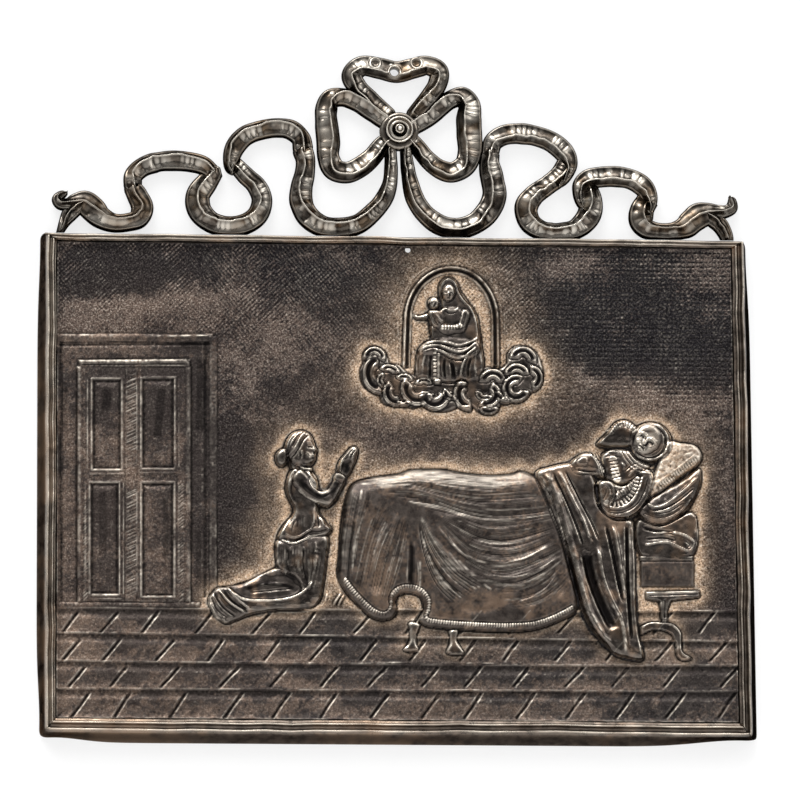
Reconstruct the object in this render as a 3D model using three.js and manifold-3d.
// A silver ex-voto plaque: an embossed panel in a beaded frame, under a ribbon-bow crest with a hanging hole.
// Millimetres. X runs to the right, Z up, and the plaque faces -Y with its back on the wall plane y = 0.
// The origin is the centre of the hanging hole on the wall plane.
import * as THREE from 'three';
import Module from 'manifold-3d';

const wasm = await Module();
wasm.setup();

// Panel
const panelWidth = 170;
const panelHeight = 121.7;
const panelSheet = 0.6; // thickness of the embossed sheet
const panelFront = 3.0; // flat ground of the panel, in front of the wall
const seam = 0.3; // solder seam left between neighbouring pieces

// Frame strips: the bead band is measured from the panel's edge to the outer bead
const bandLeft = 2.5;
const bandRight = 3.0;
const bandTop = 1.8;
const bandBottom = 3.3;
const flareLeft = 2.1; // how far each outer wall leans out from the outer bead to the wall plane
const flareRight = 1.6;
const flareTop = 0.9;
const flareBottom = 2.1;
const frameDepth = 5.0; // wall to the top of the outer bead
const innerBeadDepth = 4.5;
const beadValleyDepth = 3.8;
const beadRound = 0.5; // drop from a bead's top to its shoulder
const stripSheet = 0.7; // thickness of the formed strips
const ledgeWidth = 1.6; // ledge that carries the edge of the panel
const backLip = 2.6; // flat lip that lies on the wall

// Crest ribbons
const crestInset = 0.3; // from the panel's left and right edges to the crest's outermost feet
const crestHeight = 47.4; // from the frame's top wall to the top of the bow
const ribbonBack = 0.5; // back of the ribbons, in front of the wall
const ribbonEdge = 2.3; // front of a ribbon's edges
const ribbonRidge = 3.5; // front of a ribbon's ridge
const ribbonWallLean = 0.35; // how far each side wall leans in toward the front
const ribbonFullness = 1; // times the drawn ribbon widths

// Rosette and its stud
const rosetteRadius = 4.6;
const rosetteCollarDepth = 3.0;
const rosetteRimRadius = 3.3;
const rosetteRimDepth = 4.6;
const rosetteDishDepth = 3.4;
const studHeadRadius = 1.25;
const studHeadDepth = 5.8;
const studShankRadius = 0.6;
const studTailRadius = 1.3; // spread end behind the rosette
const studPlay = 0.3; // round the shank in the rosette's bore
const rosetteEdgeRound = 0.3;

// Holes
const hangingHoleRadius = 1.15;
const nailHoleRadius = 0.75;
const nailHoleX = 3.2;
const nailHoleDrop = 1.05; // below the panel's upper edge

// Heights of the embossed forms above the panel's ground
const lineRelief = 0.5;
const doorRelief = 0.9;
const mouldingRelief = 1.3;
const cloudRelief = 1.2;
const archRelief = 0.9;
const coverRelief = 1.9;
const sheetRelief = 2.5;
const pillowRelief = 2.2;
const limbRelief = 2.4;
const headRelief = 3.0;
const foldRelief = 0.5;

const cutPast = 3; // how far a cutting body runs past what it cuts

// Worked-out places, with z = 0 at the plaque's lowest edge
const panelBottom = bandBottom + flareBottom;
const panelTop = panelBottom + panelHeight;
const panelBack = panelFront - panelSheet;
const halfWidth = panelWidth / 2;
const topWallFoot = panelTop + bandTop + flareTop;
const crestWidth = panelWidth - 2 * crestInset;

// The relief is drawn on a panel of this size, then fitted to the real one
const drawn = { width: 170, height: 121.7, bottom: 5.4 };
const artX = (x) => (x * panelWidth) / drawn.width;
const artZ = (z) => panelBottom + ((z - drawn.bottom) * panelHeight) / drawn.height;
const artScale = Math.min(panelWidth / drawn.width, panelHeight / drawn.height);

// The crest is drawn between feet this far apart, over a frame whose top lies this high
const drawnCrest = { width: 169.4, height: 47.4, foot: 129.8, middle: 0.6 };
const crestX = (x) => drawnCrest.middle + ((x - drawnCrest.middle) * crestWidth) / drawnCrest.width;
const crestZ = (z) => topWallFoot + ((z - drawnCrest.foot) * crestHeight) / drawnCrest.height;
const ribbonWidth = (w) => w * ribbonFullness;
const rosette = { x: 1.3, z: 156.8 };
const hangingHole = { x: 0.2, z: 172.2 };

// Solids

function signedVolume(vertices, triangles) {
  let sum = 0;
  for (const [a, b, c] of triangles) {
    const [p, q, r] = [vertices[a], vertices[b], vertices[c]];
    sum += p[0] * (q[1] * r[2] - q[2] * r[1]) - p[1] * (q[0] * r[2] - q[2] * r[0])
      + p[2] * (q[0] * r[1] - q[1] * r[0]);
  }
  return sum / 6;
}

function solidOf(vertices, triangles) {
  const outward = signedVolume(vertices, triangles) > 0;
  const faces = outward ? triangles : triangles.map(([a, b, c]) => [a, c, b]);
  return new wasm.Manifold(new wasm.Mesh({
    numProp: 3,
    vertProperties: new Float32Array(vertices.flat()),
    triVerts: new Uint32Array(faces.flat()),
  }));
}

// A closed body through rings of points. Each ring is a loop; cap is the same loop drawn flat.
function loft(rings, cap) {
  const count = rings[0].length;
  const triangles = [];
  for (let i = 0; i + 1 < rings.length; i++) {
    for (let j = 0; j < count; j++) {
      const a = i * count + j;
      const b = i * count + ((j + 1) % count);
      triangles.push([a, b, b + count], [a, b + count, a + count]);
    }
  }
  const contour = cap.map(([u, v]) => new THREE.Vector2(u, v));
  const last = (rings.length - 1) * count;
  const turns = THREE.ShapeUtils.area(contour) > 0;
  for (const [a, b, c] of THREE.ShapeUtils.triangulateShape(contour, [])) {
    const [p, q] = turns ? [b, c] : [c, b];
    triangles.push([a, q, p], [last + a, last + p, last + q]);
  }
  return solidOf(rings.flat(), triangles);
}

function fromGeometry(geometry) {
  const position = geometry.getAttribute('position');
  const index = geometry.getIndex();
  const seen = new Map();
  const vertices = [];
  const merged = [];
  for (let i = 0; i < position.count; i++) {
    const point = [position.getX(i), position.getY(i), position.getZ(i)];
    const key = point.map((value) => Math.round(value * 1e4)).join(',');
    if (!seen.has(key)) {
      seen.set(key, vertices.length);
      vertices.push(point);
    }
    merged.push(seen.get(key));
  }
  const triangles = [];
  for (let i = 0; i < index.count; i += 3) {
    const [a, b, c] = [0, 1, 2].map((k) => merged[index.getX(i + k)]);
    if (a !== b && b !== c && c !== a) triangles.push([a, b, c]);
  }
  return solidOf(vertices, triangles);
}

function box(x0, x1, depth0, depth1, z0, z1) {
  const geometry = new THREE.BoxGeometry(x1 - x0, depth1 - depth0, z1 - z0);
  geometry.translate((x0 + x1) / 2, -(depth0 + depth1) / 2, (z0 + z1) / 2);
  return fromGeometry(geometry);
}

function pin(x, z, radius, depth0, depth1, sides = 24) {
  const geometry = new THREE.CylinderGeometry(radius, radius, depth1 - depth0, sides);
  geometry.translate(x, -(depth0 + depth1) / 2, z);
  return fromGeometry(geometry);
}

// A body turned about the line through x, z; the profile is [radius, depth], closing on that line
function turned(profile, x, z, sides) {
  const points = profile.map(([radius, depth]) => new THREE.Vector2(radius, depth));
  const geometry = new THREE.LatheGeometry(points, sides);
  geometry.rotateX(Math.PI);
  geometry.translate(x, 0, z);
  return fromGeometry(geometry);
}

function largest(solid) {
  const bodies = solid.decompose();
  return bodies.reduce((best, body) => (body.volume() > best.volume() ? body : best));
}

const joined = (solids) => solids.reduce((all, solid) => all.add(solid));

// Outlines

function smoothLoop(points, count) {
  const knots = points.map(([x, z]) => new THREE.Vector3(x, z, 0));
  const curve = new THREE.CatmullRomCurve3(knots, true, 'centripetal');
  return curve.getSpacedPoints(count).slice(0, count).map((p) => [p.x, p.y]);
}

function inset(points, distance) {
  const count = points.length;
  const area = THREE.ShapeUtils.area(points.map(([x, z]) => new THREE.Vector2(x, z)));
  const side = Math.sign(area);
  return points.map(([x, z], i) => {
    const [px, pz] = points[(i + count - 1) % count];
    const [nx, nz] = points[(i + 1) % count];
    const before = new THREE.Vector2(x - px, z - pz).normalize();
    const after = new THREE.Vector2(nx - x, nz - z).normalize();
    const bend = Math.max(0.5, Math.sqrt((1 + before.dot(after)) / 2));
    const along = before.add(after).normalize();
    return [x - (along.y * side * distance) / bend, z + (along.x * side * distance) / bend];
  });
}

const rect = (x0, x1, z0, z1) => [[x0, z0], [x1, z0], [x1, z1], [x0, z1]];

// Embossed forms: what stands proud of the sheet, and the hollow that follows it on the back

const raised = [];
const hollows = [];
const embossFoot = panelBack + 0.05; // raised forms start inside the sheet

function formLoft(points, steps) {
  const rings = steps.map(([inward, depth]) => inset(points, inward).map(([x, z]) => [x, -depth, z]));
  return loft(rings, points);
}

function emboss(points, height, slope, hollow = true) {
  const place = points.map(([x, z]) => [artX(x), artZ(z)]);
  const top = panelFront + height;
  const shoulder = panelFront + height * 0.65;
  const lean = slope * artScale;
  raised.push(formLoft(place, [[0, embossFoot], [0, panelFront], [lean * 0.4, shoulder], [lean, top]]));
  if (hollow) {
    hollows.push(formLoft(place, [[panelSheet, panelBack - cutPast], [panelSheet + lean, top - panelSheet]]));
  }
}

// A domed knob, such as a head or a cloud; the larger ones have their own hollow
function dome(x, z, radiusX, radiusZ, height, tilt = 0, hollow = false) {
  const make = (less, around, up) => {
    const geometry = new THREE.SphereGeometry(1, around, up);
    geometry.scale((radiusX - less) * artScale, height - less, (radiusZ - less) * artScale);
    geometry.rotateY(-tilt);
    geometry.translate(artX(x), -panelFront, artZ(z));
    return fromGeometry(geometry);
  };
  const behind = box(-halfWidth, halfWidth, -panelWidth, embossFoot, 0, panelTop * 2);
  raised.push(make(0, hollow ? 12 : 8, hollow ? 8 : 6).subtract(behind));
  if (hollow) hollows.push(make(panelSheet, 8, 6));
}

const ridgeRoot = 0.35; // how deep a ridge sits in the surface that carries it

// A ridge along a line that lies on a surface of the given relief; its two ends taper
function ridge(points, width, surface, height, ends = 0.3) {
  const count = points.length;
  const sections = points.map(([x, z], i) => {
    const [px, pz] = points[Math.max(0, i - 1)];
    const [nx, nz] = points[Math.min(count - 1, i + 1)];
    const along = new THREE.Vector2(artX(nx) - artX(px), artZ(nz) - artZ(pz)).normalize();
    const tip = i === 0 || i === count - 1 ? ends : 1;
    const half = (width / 2) * artScale * tip;
    const low = panelFront + surface - ridgeRoot;
    const high = panelFront + surface + height * tip;
    const point = (side, depth) => [artX(x) + along.y * half * side, -depth, artZ(z) - along.x * half * side];
    return [point(-1, low), point(0, high), point(1, low)];
  });
  raised.push(loft(sections, [[-1, 0], [0, 1], [1, 0]]));
}

// The door on the left: architrave, leaf, and four raised fields
function door() {
  const [left, right, top, foot] = [-84.2, -45.6, 103.4, 33.6];
  const jamb = 1.2;
  const lintel = 2.4;
  emboss([[left, foot], [left + jamb, foot], [left + jamb, top - lintel], [right - jamb, top - lintel],
    [right - jamb, foot], [right, foot], [right, top], [left, top]], mouldingRelief, 0.35, false);
  const [leafLeft, leafRight, leafTop] = [-79.8, -51.6, 96.6];
  emboss(rect(leafLeft, leafRight, foot + 0.6, leafTop), doorRelief, 0.5);
  const head = 2.2;
  const stile = 1.3;
  for (const bar of [rect(leafLeft, leafRight, leafTop - head, leafTop),
    rect(leafLeft, leafLeft + stile, foot + 0.6, leafTop - head - 0.1),
    rect(leafRight - stile, leafRight, foot + 0.6, leafTop - head - 0.1)]) {
    emboss(bar, mouldingRelief, 0.3, false);
  }
  const columns = [[-76.4, -68.8], [-64.2, -55.6]];
  const rows = [[36.3, 65.4], [68.6, 91.6]];
  for (const [x0, x1] of columns) {
    for (const [z0, z1] of rows) emboss(rect(x0, x1, z0, z1), mouldingRelief + 0.2, 0.8);
  }
}

// The tiled floor: four joints across, and slanting joints between them
function tiledFloor() {
  const joints = [33.6, 26.8, 20.0, 13.2, 5.9];
  const lineWidth = 0.9;
  const [left, right] = [-84.3, 84.3];
  const firstFoot = [-83.5, -83.5, -81.8, -81.0];
  const pitch = 12.4;
  const slant = 5.2;
  firstFoot.forEach((foot, row) => {
    ridge([[left, joints[row]], [right, joints[row]]], lineWidth, 0, lineRelief, 1);
    for (let x = foot; x + slant < right; x += pitch) {
      ridge([[x, joints[row + 1] + 0.5], [x + slant, joints[row] - 0.5]], lineWidth, 0, lineRelief * 0.8, 1);
    }
  });
}

// The seated figure with a child under an arch, on clouds
function shrine() {
  const [left, right, foot, spring, crown] = [2.2, 25.6, 95.6, 107.6, 121.2];
  const band = 1.6;
  const middle = (left + right) / 2;
  const arc = (half, top, from, to, steps) => Array.from({ length: steps + 1 }, (_, i) => {
    const angle = from + ((to - from) * i) / steps;
    return [middle + half * Math.cos(angle), spring + (top - spring) * Math.sin(angle)];
  });
  const half = (right - left) / 2;
  emboss([[right, foot], ...arc(half, crown, 0, Math.PI, 14), [left, foot], [left + band, foot],
    ...arc(half - band, crown - band, Math.PI, 0, 14), [right - band, foot]], archRelief, 0.3, false);
  const clouds = [[-5.5, 97.6, 2.6], [-7.4, 93.2, 2.1], [-5.0, 90.2, 2.1], [-1.4, 87.2, 2.4],
    [2.4, 89.6, 2.4], [3.4, 86.0, 1.9], [5.6, 88.6, 2.2], [9.4, 85.8, 2.6], [13.0, 88.0, 2.1],
    [16.0, 87.2, 2.1], [18.6, 86.6, 2.1], [23.4, 88.0, 2.6], [22.8, 84.4, 1.9], [24.6, 92.0, 2.6],
    [30.4, 90.2, 2.8], [30.4, 87.0, 2.1], [34.4, 92.4, 2.6], [32.0, 98.0, 3.0], [27.6, 95.4, 2.5],
    [-0.6, 92.8, 2.4], [19.4, 90.4, 2.4]];
  for (const [x, z, radius] of clouds) dome(x, z, radius, radius, cloudRelief);
  const robe = smoothLoop([[5.2, 91.8], [6.0, 99.0], [8.8, 102.4], [10.6, 106.0], [10.4, 110.6],
    [11.4, 115.2], [13.6, 117.8], [16.0, 116.4], [17.2, 112.8], [19.6, 109.4], [21.0, 104.2], [21.6, 99.8],
    [21.2, 91.8], [13.2, 90.8]], 30);
  emboss(robe, limbRelief - 0.6, 1.1);
  for (const x of [7.4, 11.0, 15.4, 18.9]) {
    ridge([[x, 92.2], [x + 0.7, 96.6], [x + 0.4, 99.4]], 1.5, limbRelief - 0.6, foldRelief);
  }
  dome(13.4, 114.0, 1.7, 2.2, headRelief);
  dome(9.6, 111.4, 1.4, 1.5, headRelief);
  const child = smoothLoop([[8.2, 109.9], [11.2, 110.0], [12.2, 105.6], [10.6, 103.8], [8.8, 105.6]], 14);
  emboss(child, limbRelief, 0.7);
  ridge([[9.0, 108.6], [7.0, 108.2], [4.8, 107.9]], 1.2, 0, limbRelief - 0.6, 0.8);
  for (const [x, z] of [[10.4, 90.9], [16.4, 90.4]]) dome(x, z, 1.1, 0.7, cloudRelief + 0.4);
}

// The kneeling figure: head, hair, bodice, sleeve and skirt
function kneelingFigure() {
  dome(-24.2, 73.2, 4.1, 4.7, headRelief, 0.15, true);
  dome(-28.8, 71.2, 2.2, 2.0, limbRelief);
  const bodice = smoothLoop([[-25.6, 68.4], [-27.4, 65.2], [-27.4, 62.4], [-26.8, 59.4], [-27.4, 55.8],
    [-29.4, 50.8], [-25.6, 49.0], [-21.8, 50.6], [-16.2, 52.8], [-17.8, 56.8], [-17.4, 59.4],
    [-18.2, 65.0], [-21.8, 68.4]], 28);
  emboss(bodice, limbRelief, 1.2);
  const sleeve = [[-23.8, 66.6], [-21.0, 62.6], [-17.6, 60.4], [-15.0, 62.8], [-13.6, 67.0]];
  ridge(sleeve, 3.4, 0, limbRelief + 0.5, 0.7);
  ridge([[-13.6, 66.6], [-12.4, 69.8], [-10.2, 73.4]], 2.6, 0, limbRelief - 0.4, 0.5);
  const skirt = smoothLoop([[-29.4, 50.4], [-16.4, 52.2], [-17.6, 48.8], [-18.0, 40.6], [-19.6, 34.8],
    [-22.0, 33.2], [-27.0, 37.4], [-29.8, 42.2], [-30.0, 46.2]], 24);
  emboss(skirt, limbRelief - 0.3, 1.1);
  const lowerSkirt = smoothLoop([[-29.6, 42.0], [-35.8, 40.2], [-41.8, 38.2], [-45.4, 37.2], [-46.8, 34.6],
    [-45.0, 31.6], [-41.6, 29.2], [-37.6, 31.0], [-31.4, 32.2], [-21.8, 33.2], [-24.6, 38.0]], 28);
  emboss(lowerSkirt, limbRelief - 0.6, 1.3);
  for (const lift of [0, 2.4]) {
    ridge([[-41.6 + lift, 36.4], [-37.4 + lift, 34.6], [-33.0 + lift, 34.0 - lift / 4]], 0.9,
      limbRelief - 0.6, foldRelief);
  }
  dome(-15.0, 35.2, 2.0, 1.7, cloudRelief);
}

// The bed: cover, turned-back sheet, legs, rail and the carved end
function bed() {
  const cover = smoothLoop([[-10.4, 65.6], [-5.0, 67.0], [1.6, 68.4], [14.0, 68.6], [26.4, 68.0],
    [35.8, 68.0], [39.4, 58.6], [41.0, 52.0], [43.8, 41.2], [45.2, 34.0], [40.4, 30.2], [34.0, 28.2],
    [28.4, 27.6], [19.0, 28.0], [9.6, 28.2], [6.2, 29.8], [5.0, 32.6], [2.8, 35.2], [0.4, 34.6],
    [-0.6, 32.0], [-3.0, 30.0], [-7.6, 32.0], [-13.2, 38.6], [-15.2, 41.8], [-13.6, 51.6],
    [-12.0, 61.6]], 52);
  emboss(cover, coverRelief, 1.3);
  const folds = [
    [[2.0, 58.0], [-3.0, 52.0], [-6.4, 44.0], [-7.6, 37.0]],
    [[3.4, 57.4], [1.0, 50.0], [-0.4, 42.0]],
    [[6.0, 57.6], [9.4, 50.6], [15.0, 45.6], [21.0, 43.4]],
    [[5.0, 55.0], [8.0, 46.0], [13.2, 39.6]],
    [[9.0, 60.8], [17.0, 57.6], [27.0, 56.6], [38.0, 58.6]],
    [[12.0, 55.6], [20.0, 51.0], [30.0, 50.4], [39.6, 54.0]],
    [[18.0, 46.6], [26.0, 44.6], [34.0, 46.6], [40.6, 51.4]],
    [[27.0, 36.0], [34.0, 38.6], [41.0, 45.6]],
  ];
  for (const fold of folds) ridge(fold, 1.8, coverRelief, foldRelief);
  const turnedBack = smoothLoop([[36.2, 68.2], [39.6, 58.8], [41.2, 52.2], [44.2, 41.2], [45.6, 34.0],
    [48.4, 27.8], [51.6, 23.2], [55.0, 21.2], [60.6, 20.8], [60.2, 28.2], [59.4, 45.6], [58.8, 55.4],
    [54.2, 57.4], [50.8, 60.0], [50.0, 65.2], [43.6, 67.4]], 40);
  emboss(turnedBack, sheetRelief, 1.2);
  const sheetFolds = [
    [[48.0, 62.0], [51.0, 48.0], [54.0, 34.0], [56.4, 23.4]],
    [[54.6, 56.0], [55.6, 46.0], [56.2, 36.0]],
    [[43.4, 62.0], [46.4, 50.0], [48.4, 38.0], [51.8, 27.0]],
  ];
  for (const fold of sheetFolds) ridge(fold, 1.9, sheetRelief, foldRelief);
  bedEnds();
}

// The two turned legs at the foot, and the rail, box and trestle under the pillows
function bedEnds() {
  const legs = [
    [[3.0, 30.4], [2.7, 24.0], [1.2, 21.9], [5.2, 21.9], [4.9, 24.0], [5.0, 30.4]],
    [[13.2, 28.4], [13.2, 23.2], [12.0, 21.3], [16.8, 21.3], [15.8, 23.2], [15.6, 28.4]],
  ];
  const chest = rect(61.0, 74.0, 38.8, 45.8);
  const rail = rect(60.4, 73.6, 46.8, 48.0);
  const bar = rect(62.4, 75.6, 35.9, 37.9);
  const stem = rect(65.4, 68.3, 29.8, 36.0);
  emboss(chest, doorRelief, 0.5);
  for (const outline of [...legs, rail, bar, stem]) emboss(outline, mouldingRelief, 0.3, false);
  const foot = [[60.6, 28.0], [63.4, 29.6], [66.6, 30.0], [69.4, 29.0], [70.6, 26.6], [70.6, 23.6],
    [73.2, 21.4]];
  ridge(foot, 2.2, 0, mouldingRelief, 0.9);
}

// The figure in the bed: hooded head, pillows and sleeves
function lyingFigure() {
  const leftPillow = smoothLoop([[49.8, 75.0], [56.4, 81.6], [60.2, 79.4], [58.4, 74.4]], 14);
  const rightPillow = smoothLoop([[69.0, 76.6], [75.4, 74.8], [76.4, 72.0], [70.0, 67.0], [65.0, 63.8],
    [63.4, 68.6]], 20);
  const lowerPillow = smoothLoop([[60.2, 59.2], [63.6, 61.6], [70.0, 64.6], [76.0, 68.0], [76.2, 64.0],
    [73.0, 58.8], [67.0, 55.4], [61.6, 56.2]], 24);
  const mattress = smoothLoop([[61.0, 55.0], [67.0, 54.4], [73.6, 57.4], [75.8, 52.4], [73.4, 48.6],
    [61.0, 48.8]], 20);
  emboss(leftPillow, pillowRelief, 0.8);
  emboss(rightPillow, pillowRelief, 0.8);
  emboss(lowerPillow, pillowRelief + 0.2, 1.0);
  emboss(mattress, doorRelief, 0.7);
  dome(72.6, 50.2, 1.9, 1.9, mouldingRelief);
  const hands = smoothLoop([[43.6, 71.8], [47.0, 74.2], [51.2, 73.0], [52.2, 68.4], [47.6, 67.6]], 16);
  const sleeve = smoothLoop([[50.4, 65.4], [50.6, 59.8], [53.2, 57.2], [57.6, 57.2], [61.6, 60.8],
    [64.0, 65.6], [62.4, 69.0], [56.0, 68.4]], 22);
  const chest = smoothLoop([[52.4, 71.4], [57.0, 72.4], [61.0, 70.0], [57.0, 67.4], [52.6, 68.0]], 14);
  emboss(hands, limbRelief, 0.9);
  emboss(sleeve, limbRelief + 0.2, 1.1);
  emboss(chest, limbRelief - 0.4, 0.7);
  dome(62.8, 75.6, 5.2, 5.2, headRelief, 0, true);
}

function reliefPanel() {
  door();
  tiledFloor();
  shrine();
  bed();
  lyingFigure();
  kneelingFigure();
  const plate = box(-halfWidth + seam, halfWidth - seam, panelBack, panelFront, panelBottom + seam,
    panelTop - seam);
  const withinSheet = box(-halfWidth + seam, halfWidth - seam, 0, frameDepth * 2, panelBottom + seam,
    panelTop - seam);
  const nailHole = pin(nailHoleX, panelTop - nailHoleDrop, nailHoleRadius, 0, panelFront + cutPast);
  const forms = joined(raised).intersect(withinSheet);
  return largest(plate.add(forms).subtract(joined(hollows)).subtract(nailHole));
}

// Frame strips

// Section of a strip as [distance out from the panel's edge, depth in front of the wall]
function stripSection(band, flare) {
  const bead = band * 0.24;
  const valley = band * 0.55;
  const outer = band + flare;
  const ledge = panelBack - seam;
  const innerShoulder = innerBeadDepth - beadRound;
  const outerShoulder = frameDepth - beadRound;
  return [
    [-ledgeWidth, ledge],
    [0, ledge],
    [0, innerShoulder],
    [bead, innerBeadDepth],
    [valley, beadValleyDepth],
    [band - bead * 0.5, frameDepth],
    [band, outerShoulder],
    [outer, 0],
    [outer - backLip, 0],
    [outer - backLip, stripSheet],
    [outer - stripSheet * 1.1, stripSheet],
    [band - stripSheet * 0.55, outerShoulder - stripSheet],
    [valley, beadValleyDepth - stripSheet],
    [stripSheet, innerShoulder - stripSheet],
    [stripSheet, ledge - stripSheet],
    [-ledgeWidth, ledge - stripSheet],
  ];
}

// A strip along one side; its ends are mitred to meet the strips beside it, a seam apart
const mitreBack = seam * 0.75;

function frameStrip(from, to, out, section, nextBefore, nextAfter) {
  const along = [Math.sign(to[0] - from[0]), Math.sign(to[1] - from[1])];
  const reach = (next, u) => (u * (next.band + next.flare)) / (section.band + section.flare) - mitreBack;
  const points = stripSection(section.band, section.flare);
  const ring = (corner, direction, next) => points.map(([u, depth]) => {
    const past = reach(next, u) * direction;
    return [corner[0] + out[0] * u + along[0] * past, -depth, corner[1] + out[1] * u + along[1] * past];
  });
  return loft([ring(from, -1, nextBefore), ring(to, 1, nextAfter)], points);
}

const sides = {
  left: { band: bandLeft, flare: flareLeft },
  right: { band: bandRight, flare: flareRight },
  top: { band: bandTop, flare: flareTop },
  bottom: { band: bandBottom, flare: flareBottom },
};
const corner = {
  topLeft: [-halfWidth, panelTop],
  topRight: [halfWidth, panelTop],
  bottomLeft: [-halfWidth, panelBottom],
  bottomRight: [halfWidth, panelBottom],
};

function frameTop() {
  const strip = frameStrip(corner.topLeft, corner.topRight, [0, 1], sides.top, sides.left, sides.right);
  return strip.subtract(pin(nailHoleX, panelTop - nailHoleDrop, nailHoleRadius, -cutPast, panelFront));
}
const frameBottom = () =>
  frameStrip(corner.bottomLeft, corner.bottomRight, [0, -1], sides.bottom, sides.left, sides.right);
const frameLeft = () =>
  frameStrip(corner.bottomLeft, corner.topLeft, [-1, 0], sides.left, sides.bottom, sides.top);
const frameRight = () =>
  frameStrip(corner.bottomRight, corner.topRight, [1, 0], sides.right, sides.bottom, sides.top);

// Crest ribbons: each point is [x, z, width, ridge], the ridge's place from -1 (left of the run) to 1 (right)

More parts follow.
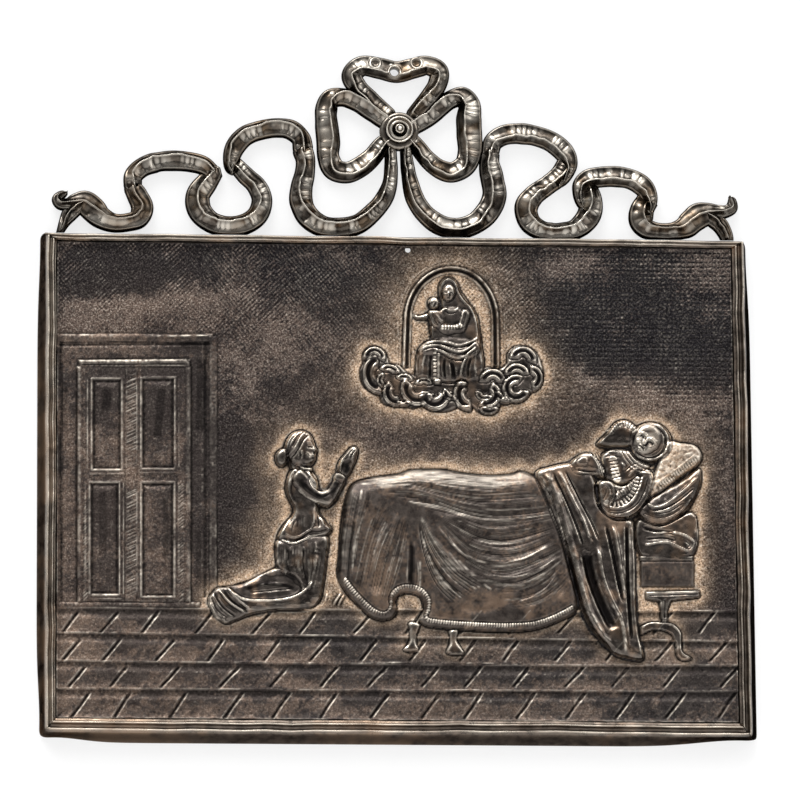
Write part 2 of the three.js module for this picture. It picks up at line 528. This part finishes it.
const ribbons = {
  bow_top_loop: [[-1.2, 161.0, 4.4, -0.5], [-5.5, 164.8, 4.9, -0.5], [-9.0, 168.4, 5.0, -0.4],
    [-10.4, 171.6, 5.4, 0], [-8.0, 174.0, 5.2, 0.5], [-3.4, 173.5, 5.5, 0.55], [0.9, 172.6, 5.6, 0.55],
    [5.0, 173.6, 5.3, 0.55], [8.8, 174.4, 5.0, 0.5], [11.6, 172.8, 5.0, 0.2], [11.2, 169.6, 5.0, 0],
    [9.2, 166.4, 4.8, 0.3], [5.2, 161.4, 4.4, 0.4]],
  bow_left_loop: [[-1.5, 159.1, 4.0, 0.6], [-5.5, 162.0, 4.6, 0.6], [-9.1, 164.6, 4.8, 0.6],
    [-12.8, 165.9, 5.0, 0.5], [-16.0, 165.2, 5.2, -0.3], [-17.0, 162.4, 5.6, -0.4],
    [-16.9, 158.8, 5.9, -0.4], [-16.5, 154.2, 5.9, -0.4], [-16.5, 150.3, 5.8, -0.3],
    [-15.0, 147.0, 5.8, 0.2], [-11.9, 146.2, 5.4, 0.5], [-8.7, 147.6, 5.2, 0.5], [-5.6, 150.2, 5.0, 0.5],
    [-3.1, 153.4, 4.6, 0.5], [-1.3, 155.0, 4.0, 0.5]],
  bow_right_loop: [[4.6, 158.1, 4.2, -0.6], [8.6, 160.6, 4.7, -0.6], [11.7, 163.4, 5.0, -0.6],
    [14.5, 165.6, 5.0, -0.5], [17.4, 166.3, 5.2, 0.3], [19.2, 164.2, 5.6, 0.5], [19.1, 160.4, 6.3, 0.5],
    [19.2, 156.5, 6.6, 0.5], [19.3, 152.1, 6.2, 0.4], [18.0, 148.5, 5.8, -0.1], [14.8, 146.6, 5.3, -0.5],
    [11.8, 147.3, 5.0, -0.5], [8.8, 149.6, 4.5, -0.5], [6.3, 152.7, 4.2, -0.5], [4.6, 154.8, 3.8, -0.5]],
  lower_left_loop: [[-23.0, 151.8, 5.2, 0.2], [-22.3, 149.5, 5.0, 0.2], [-22.5, 145.8, 5.3, 0.2],
    [-23.3, 142.2, 5.7, 0.3], [-23.4, 138.5, 6.0, 0], [-21.8, 134.9, 6.0, -0.3],
    [-18.4, 132.4, 5.7, -0.35], [-13.8, 131.9, 5.5, -0.35], [-9.2, 132.9, 5.3, -0.35],
    [-5.5, 135.9, 5.0, -0.35], [-2.7, 139.3, 4.7, -0.35], [-1.1, 143.2, 4.0, -0.5],
    [-0.7, 147.4, 3.5, -0.5], [-0.8, 152.2, 3.2, -0.5]],
  lower_right_loop: [[3.0, 152.6, 3.0, 0.5], [3.5, 147.7, 3.5, 0.5], [4.2, 143.6, 4.2, 0.5],
    [5.4, 139.4, 4.7, 0.4], [7.9, 135.6, 5.0, 0.35], [11.7, 132.8, 5.2, 0.35], [16.0, 132.0, 5.5, 0.35],
    [20.3, 133.4, 5.6, 0.3], [23.8, 136.8, 6.0, 0], [25.4, 140.7, 6.2, -0.2], [24.9, 144.9, 6.0, -0.2],
    [24.2, 148.8, 5.3, -0.2], [24.4, 151.6, 4.8, -0.2]],
  left_inner_arch: [[-42.4, 146.8, 3.2, -0.3], [-41.7, 149.2, 4.5, -0.4], [-40.4, 152.6, 5.0, -0.5],
    [-37.4, 155.5, 5.2, -0.5], [-33.3, 157.1, 5.3, -0.5], [-29.3, 157.7, 5.3, -0.5],
    [-25.9, 157.2, 5.3, -0.4], [-23.4, 154.9, 5.2, -0.2], [-22.9, 152.3, 5.2, 0]],
  right_inner_arch: [[24.4, 151.9, 4.8, 0], [25.2, 154.6, 5.0, 0.3], [27.8, 156.4, 5.2, 0.5],
    [31.9, 156.9, 5.3, 0.5], [36.2, 156.3, 5.3, 0.5], [40.2, 154.7, 5.3, 0.5], [43.2, 151.9, 5.2, 0.5],
    [44.5, 149.0, 4.6, 0.4]],
  left_curl: [[-41.0, 149.0, 4.2, 0.3], [-37.4, 145.1, 4.6, 0.3], [-34.6, 142.3, 5.0, 0.3],
    [-33.3, 138.9, 5.1, 0.2], [-34.4, 135.0, 5.3, 0.3], [-37.6, 132.6, 5.4, 0.4], [-42.0, 131.9, 5.4, 0.4],
    [-46.1, 133.0, 5.7, 0.3], [-49.0, 136.0, 6.2, 0], [-49.4, 139.8, 6.0, -0.1], [-47.2, 143.2, 5.5, -0.2],
    [-45.4, 145.5, 4.5, -0.2]],
  right_curl: [[43.6, 149.2, 4.8, -0.3], [41.9, 146.1, 5.2, -0.3], [38.8, 143.5, 5.0, -0.3],
    [35.3, 140.8, 5.3, -0.2], [33.4, 137.7, 6.0, -0.2], [34.4, 133.8, 5.8, -0.4], [37.9, 131.6, 5.2, -0.4],
    [42.0, 131.4, 5.2, -0.4], [46.0, 132.4, 5.4, -0.4], [49.2, 135.8, 6.0, -0.3], [49.8, 139.2, 6.0, 0],
    [49.2, 142.0, 5.5, 0.1]],
  left_outer_arch: [[-65.8, 142.2, 4.6, 0.2], [-65.6, 144.7, 5.0, -0.2], [-63.5, 146.9, 5.2, -0.5],
    [-60.0, 148.3, 5.3, -0.5], [-56.0, 148.8, 5.3, -0.5], [-52.0, 148.6, 5.3, -0.5],
    [-48.2, 147.7, 5.2, -0.4], [-45.7, 145.9, 4.2, -0.2]],
  right_outer_arch: [[46.6, 141.6, 3.4, 0.4], [46.6, 143.4, 4.0, 0.4], [48.4, 145.0, 5.0, 0.5],
    [52.0, 145.8, 5.3, 0.5], [56.3, 146.0, 5.3, 0.5], [60.1, 145.3, 5.3, 0.5], [63.0, 143.4, 5.3, 0.4],
    [64.7, 140.8, 4.7, 0]],
  left_tail: [[-65.7, 141.4, 4.6, 0.2], [-64.5, 139.3, 5.3, 0.2], [-63.4, 136.4, 5.6, 0.1],
    [-64.4, 133.7, 5.2, 0.3], [-67.0, 132.7, 4.9, 0.4], [-70.6, 132.5, 5.2, 0.4], [-73.8, 133.9, 6.1, 0.3],
    [-75.9, 136.0, 6.8, 0.1], [-77.9, 137.7, 6.2, 0], [-80.2, 137.9, 5.2, 0], [-82.0, 137.8, 3.8, 0]],
  right_tail: [[64.3, 140.2, 5.6, -0.1], [62.8, 137.5, 6.3, -0.2], [62.5, 134.8, 6.3, -0.2],
    [63.8, 132.7, 5.6, -0.4], [66.8, 131.9, 4.6, -0.4], [70.6, 132.0, 4.8, -0.3], [73.6, 133.1, 6.0, 0],
    [75.4, 134.7, 6.5, 0], [77.1, 136.0, 7.0, 0], [79.4, 136.6, 6.0, 0], [83.1, 137.2, 3.4, 0]],
};
// Forked ends of the two tails: a prong that stands on the frame, then the tip with its curl or nub
const forks = {
  left_tail: [
    [[-80.1, 136.5, 4.6, 0], [-81.8, 134.4, 4.0, 0], [-83.1, 132.1, 2.8, 0], [-84.1, 129.2, 2.0, 0]],
    [[-81.2, 137.8, 3.6, 0], [-83.2, 137.7, 3.4, 0], [-85.2, 137.6, 2.6, 0]],
    [[-81.8, 138.4, 1.8, 0], [-82.0, 140.3, 1.0, 0]],
  ],
  right_tail: [
    [[80.6, 135.4, 4.6, 0], [82.6, 133.5, 4.2, 0], [83.8, 131.3, 3.7, 0], [84.3, 128.9, 3.4, 0]],
    [[82.4, 137.1, 3.2, 0], [84.3, 137.4, 3.2, 0], [85.6, 138.2, 3.1, 0], [85.7, 139.6, 2.6, 0],
      [85.1, 140.8, 1.8, 0]],
  ],
};

function ribbonSolid(points, clearance = 0) {
  const knots = points.map(([x, z, w, r]) => [crestX(x), crestZ(z), ribbonWidth(w), r]);
  const line = new THREE.CatmullRomCurve3(knots.map(([x, z]) => new THREE.Vector3(x, z, 0)), false,
    'centripetal');
  const measures = new THREE.CatmullRomCurve3(knots.map(([, , w, r]) => new THREE.Vector3(w, r, 0)));
  const steps = (knots.length - 1) * 3;
  const past = clearance > 0 ? cutPast : 0;
  const lean = clearance > 0 ? 0 : ribbonWallLean;
  const rings = [];
  for (let i = 0; i <= steps; i++) {
    const centre = line.getPoint(i / steps);
    const tangent = line.getTangent(i / steps);
    const { x: width, y: ridgeAt } = measures.getPoint(i / steps);
    const half = width / 2 + clearance;
    const at = (side, depth) => [centre.x + tangent.y * side, -depth, centre.y - tangent.x * side];
    rings.push([
      at(-half, ribbonBack - past),
      at(-half + lean, ribbonEdge + past),
      at(half * ridgeAt, ribbonRidge + past),
      at(half - lean, ribbonEdge + past),
      at(half, ribbonBack - past),
    ]);
  }
  return loft(rings, [[-1, 0], [-0.9, 1], [0, 2], [0.9, 1], [1, 0]]);
}

// Everything below the frame's top wall, with a seam's clearance, so that the crest stands on that wall
function belowCrest() {
  const far = halfWidth * 2;
  const low = panelBottom;
  const edge = panelTop + bandTop;
  const section = [[low, -cutPast], [topWallFoot + seam, -cutPast], [topWallFoot + seam, 0],
    [edge + seam, frameDepth], [edge + seam, frameDepth + cutPast], [low, frameDepth + cutPast]];
  const ring = (x) => section.map(([z, depth]) => [x, -depth, z]);
  return loft([ring(-far), ring(far)], section);
}

function crestSolids() {
  const solids = {};
  const cutters = [
    belowCrest(),
    pin(crestX(rosette.x), crestZ(rosette.z), rosetteRadius + seam, -cutPast, ribbonRidge + cutPast, 36),
  ];
  for (const [name, points] of Object.entries(ribbons)) {
    let solid = ribbonSolid(points);
    for (const fork of forks[name] ?? []) solid = solid.add(ribbonSolid(fork));
    for (const cutter of cutters) solid = solid.subtract(cutter);
    solids[name] = largest(solid);
    cutters.push(ribbonSolid(points, seam));
  }
  const hole = pin(crestX(hangingHole.x), crestZ(hangingHole.z), hangingHoleRadius, -cutPast,
    ribbonRidge + cutPast);
  solids.bow_top_loop = solids.bow_top_loop.subtract(hole);
  return solids;
}

// Rosette: a turned collar with a raised rim, held to the wall side by a stud through its middle
const boreRadius = studShankRadius + studPlay;

function rosetteBoss() {
  const rim = rosetteRimRadius;
  const round = rosetteEdgeRound;
  return turned([
    [boreRadius, ribbonBack], [rosetteRadius, ribbonBack], [rosetteRadius, rosetteCollarDepth - round],
    [rosetteRadius - round, rosetteCollarDepth], [rim + round * 1.5, rosetteCollarDepth],
    [rim + round, rosetteRimDepth - round], [rim, rosetteRimDepth], [rim - round, rosetteRimDepth - round],
    [rim - round * 2.5, rosetteDishDepth], [boreRadius, rosetteDishDepth], [boreRadius, ribbonBack],
  ], crestX(rosette.x), crestZ(rosette.z), 32);
}

function rosetteStud() {
  const underHead = rosetteDishDepth + seam;
  const tailFront = ribbonBack - seam;
  return turned([
    [0, 0], [studTailRadius, 0], [studTailRadius, tailFront], [studShankRadius, tailFront],
    [studShankRadius, underHead], [studHeadRadius, underHead],
      [studHeadRadius, studHeadDepth - studHeadRadius * 0.5],
    [studHeadRadius * 0.6, studHeadDepth - studHeadRadius * 0.1], [0, studHeadDepth],
  ], crestX(rosette.x), crestZ(rosette.z), 20);
}

// Materials: tarnished silver, darker on the panel's ground and brighter on the worn ribbons
const metal = (color, roughness) => new THREE.MeshStandardMaterial({ color, roughness, metalness: 1 });
const panelSilver = metal(0x6e625a, 0.45);
const frameSilver = metal(0x7d6f64, 0.4);
const crestSilver = metal(0x8a7f72, 0.32);

const plaque = new THREE.Group();
plaque.position.set(-crestX(hangingHole.x), 0, -crestZ(hangingHole.z));

function place(name, solid, material) {
  const { vertProperties, triVerts } = solid.getMesh();
  const geometry = new THREE.BufferGeometry();
  geometry.setAttribute('position', new THREE.BufferAttribute(vertProperties, 3));
  geometry.setIndex(new THREE.BufferAttribute(triVerts, 1));
  geometry.computeVertexNormals();
  const mesh = new THREE.Mesh(geometry, material);
  mesh.name = name;
  plaque.add(mesh);
}

place('relief_panel', reliefPanel(), panelSilver);
place('frame_top', frameTop(), frameSilver);
place('frame_bottom', frameBottom(), frameSilver);
place('frame_left', frameLeft(), frameSilver);
place('frame_right', frameRight(), frameSilver);
for (const [name, solid] of Object.entries(crestSolids())) place(name, solid, crestSilver);
place('rosette_boss', rosetteBoss(), crestSilver);
place('rosette_stud', rosetteStud(), crestSilver);

export default plaque;
